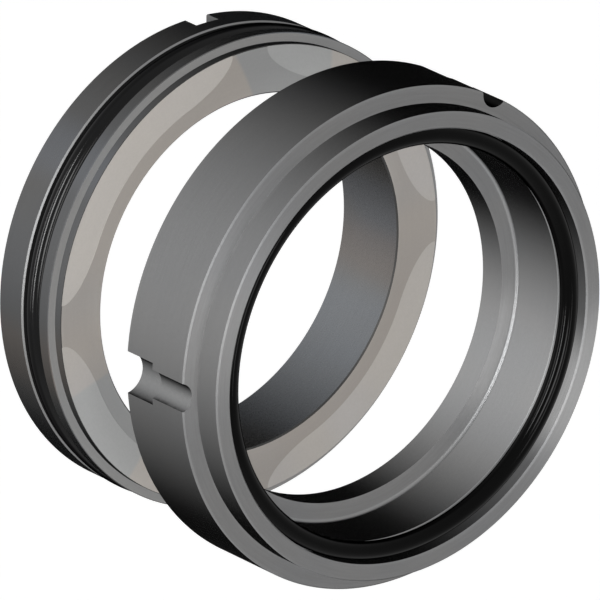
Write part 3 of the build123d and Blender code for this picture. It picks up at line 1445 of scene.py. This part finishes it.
@dataclass
class Studio:
    """White room with a pale floor, soft boxes and a dark card behind on the right. Sizes in metres."""

    lamps: tuple[SoftBox, ...] = (  # azimuth, elevation, half angle and radiance of each
        SoftBox("key strip", -25.0, 5.0, 4.5, 9.0, stretch=4.0),
        SoftBox("panel", -24.0, 4.0, 8.0, 9.0, stretch=2.5, gloss_only=True),
        SoftBox("front strip", 3.0, -6.0, 4.0, 8.0, stretch=4.0),
        SoftBox("side strip", -75.0, 15.0, 3.5, 38.0, stretch=10.0, gloss_only=True),
        SoftBox("rear strip", -104.0, 12.0, 4.0, 11.0, stretch=8.0, gloss_only=True),
    )
    wall_light: float = 0.6  # what the white walls give to dull surfaces
    floor_size: float = 9.0
    floor_height: float = -0.6
    floor_tone: float = 0.8
    floor_roughness: float = 0.9
    floor_glow: float = 0.5
    card_radius: float = 0.55
    card_along: float = -0.04  # its centre's place along Y
    card_steps: int = 48  # rings of faces from pole to pole
    card_rim: Point = (-0.15, 0.3)  # it fades in between these, as parts of its radius along Y
    card_cover: Wedge = Wedge(113.0, 60.0, 114.0)  # the part round the shaft that it covers

    @staticmethod
    def _seen_white(sheet: Sheet) -> bpy.types.NodeSocket:
        """Tells rays that show the background from those that only light the rings.

        Args:
            sheet: the sheet that the nodes go on.

        Returns:
            Socket of 1 for rays from the camera, or from gloss or glass, and 0 for others.
        """
        path = sheet.add("ShaderNodeLightPath")
        shown = sheet.maths("ADD", path.outputs["Is Camera Ray"], path.outputs["Is Glossy Ray"])
        total = sheet.add("ShaderNodeMath", operation="ADD", use_clamp=True)
        sheet.feed(total, {0: shown, 1: path.outputs["Is Transmission Ray"]})
        return total.outputs[0]

    def walls(self) -> None:
        """Makes the world white wherever it is seen."""
        world = bpy.data.worlds.new("white room")
        world.use_nodes = True
        sheet = Sheet(world.node_tree)
        background = world.node_tree.nodes["Background"]
        lit = sheet.maths("MULTIPLY_ADD", self._seen_white(sheet), 1.0 - self.wall_light, self.wall_light)
        sheet.feed(background, {"Color": WHITE, "Strength": lit})
        bpy.context.scene.world = world

    def floor(self) -> None:
        """Lays the pale floor, which is clear from below."""
        Bench.clear()
        bpy.ops.mesh.primitive_plane_add(size=self.floor_size, location=(0, 0, self.floor_height))
        floor = Bench.set_down("floor")
        pale, sheet, shader = new_material("pale floor")
        glow = sheet.maths("MULTIPLY", self._seen_white(sheet), self.floor_glow)
        values = {
            "Base Color": (self.floor_tone, self.floor_tone, self.floor_tone, 1.0),
            "Roughness": self.floor_roughness,
            "Emission Color": WHITE,
            "Emission Strength": glow,
        }
        sheet.feed(shader, values)
        below = sheet.add("ShaderNodeNewGeometry").outputs["Backfacing"]
        sheet.cover(below, shader, sheet.add("ShaderNodeBsdfTransparent"))
        floor.data.materials.append(pale)

    def card_ends(self) -> tuple[float, ...]:
        """Places along Y between which the card fades in; it is cut off at the first."""
        return tuple(self.card_along + part * self.card_radius for part in self.card_rim)

    def card(self, effects: Effects) -> None:
        """Bends a dark card round the back right, which only gloss sees; it shades the round faces.

        Args:
            effects: the shared node groups.
        """
        Bench.clear()
        bpy.ops.mesh.primitive_uv_sphere_add(
            segments=2 * self.card_steps,
            ring_count=self.card_steps,
            radius=self.card_radius,
            location=(0, self.card_along, 0),
            rotation=(-math.pi / 2, 0, 0),
        )
        card = Bench.set_down("dark card")
        bpy.ops.object.mode_set(mode="EDIT")
        mesh = bmesh.from_edit_mesh(card.data)
        bpy.ops.mesh.select_mode(type="FACE")
        cut_off = self.card_ends()[0]
        for face in mesh.faces:
            face.select_set(face.calc_center_median().y < cut_off)
        bmesh.update_edit_mesh(card.data)
        bpy.ops.mesh.delete(type="FACE")
        bpy.ops.object.mode_set(mode="OBJECT")
        card.data.materials.append(self.card_material(effects))
        card.visible_camera = card.visible_diffuse = card.visible_shadow = False

    def card_material(self, effects: Effects) -> bpy.types.Material:
        """Makes the card's black, which fades to clear at its sides and towards the front.

        Args:
            effects: the shared node groups.

        Returns:
            The new material.
        """
        dark, sheet, shader = new_material("dark card")
        dark.node_tree.nodes.remove(shader)
        at = sheet.add("ShaderNodeTexCoord").outputs["Object"]
        split = sheet.add("ShaderNodeSeparateXYZ")
        sheet.feed(split, {0: at})
        behind = sheet.ramp(split.outputs[1], self.card_ends(), (0.0, 1.0))
        share = sheet.maths("MULTIPLY", self.card_cover.mask(sheet, effects, at), behind)
        black = sheet.add("ShaderNodeBsdfDiffuse")
        sheet.feed(black, {"Color": BLACK})
        sheet.cover(share, sheet.add("ShaderNodeBsdfTransparent"), black)
        return dark

    def set_up(self, effects: Effects) -> None:
        """Puts up the whole studio.

        Args:
            effects: the shared node groups.
        """
        self.walls()
        self.floor()
        self.card(effects)
        for lamp in self.lamps:
            lamp.place()
        LOG.info("studio: %d soft boxes", len(self.lamps))


@dataclass(frozen=True)
class Viewpoint:
    """A distant camera, so that nothing is foreshortened."""

    azimuth: float = -38.23
    elevation: float = 21.39
    lens: float = 1000.0  # mm
    sensor: float = 36.0  # mm
    reach: float = 100.0  # m, beyond which the camera sees nothing
    frame: int = 600  # pixels from side to side
    pixel: float = 0.1918  # mm that one pixel covers
    face_centre: Point = (250.29, 273.44)  # pixel of the centre of the seat's running face
    face_along: float = -17.0  # mm, that face's place along the shaft

    def place(self) -> None:
        """Makes the camera and sets it as the scene's."""
        lens = bpy.data.cameras.new("camera")
        lens.lens, lens.sensor_width, lens.clip_end = self.lens, self.sensor, self.reach
        camera = bpy.data.objects.new("camera", lens)
        bpy.context.scene.collection.objects.link(camera)
        back = towards(self.azimuth, self.elevation)
        right = Vector((math.cos(math.radians(self.azimuth)), math.sin(math.radians(self.azimuth)), 0))
        up = back.cross(right)
        middle = self.frame / 2
        aim = Vector((0, self.face_along * MM, 0))
        aim += right * (middle - self.face_centre[0]) * self.pixel * MM
        aim += up * (self.face_centre[1] - middle) * self.pixel * MM
        distance = self.frame * self.pixel * MM * self.lens / self.sensor
        camera.location = aim + back * distance
        camera.rotation_mode = "QUATERNION"
        camera.rotation_quaternion = (-back).to_track_quat("-Z", "Y")
        bpy.context.scene.camera = camera


def seat_cord() -> SealCord:
    """Describes the O-ring in the seat's groove.

    Returns:
        The O-ring, not yet built.
    """
    rubber = RubberFinish(
        "moulded rubber",
        colour=(0.0015, 0.0015, 0.0017),
        bloom=(0.0015, 0.0015, 0.002),
        roughness=0.14,
        shine=0.16,
    )
    return SealCord(
        "seat_cord",
        centre_radius=45.985,
        along=-9.315,
        body=Body.STATIONARY,
        node="seat_o_ring",
        rubber=rubber,
    )


def ring_cord() -> SealCord:
    """Describes the O-ring in the rotating ring's pocket.

    Returns:
        The O-ring, not yet built.
    """
    rubber = RubberFinish(
        "oiled rubber",
        colour=(0.0003, 0.0003, 0.0003),
        bloom=(0.0005, 0.0005, 0.0005),
        roughness=0.1,
        shine=0.06,
    )
    return SealCord(
        "ring_cord",
        centre_radius=41.25,
        along=-63.185,
        body=Body.FLOATING,
        node="ring_o_ring",
        rubber=rubber,
    )


def main() -> None:
    """Loads the frame, builds the four pieces, the studio and the camera, and logs each piece's face count.
    """
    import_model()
    bpy.context.scene.view_settings.view_transform = "Standard"
    effects = Effects()
    for maker in (StationarySeat(), seat_cord(), RotatingRing(), ring_cord()):
        piece = maker.build(effects)
        LOG.info("%s: %d faces", piece.name, len(piece.data.polygons))
    Studio().set_up(effects)
    Viewpoint().place()


if __name__ == "__main__":
    main()
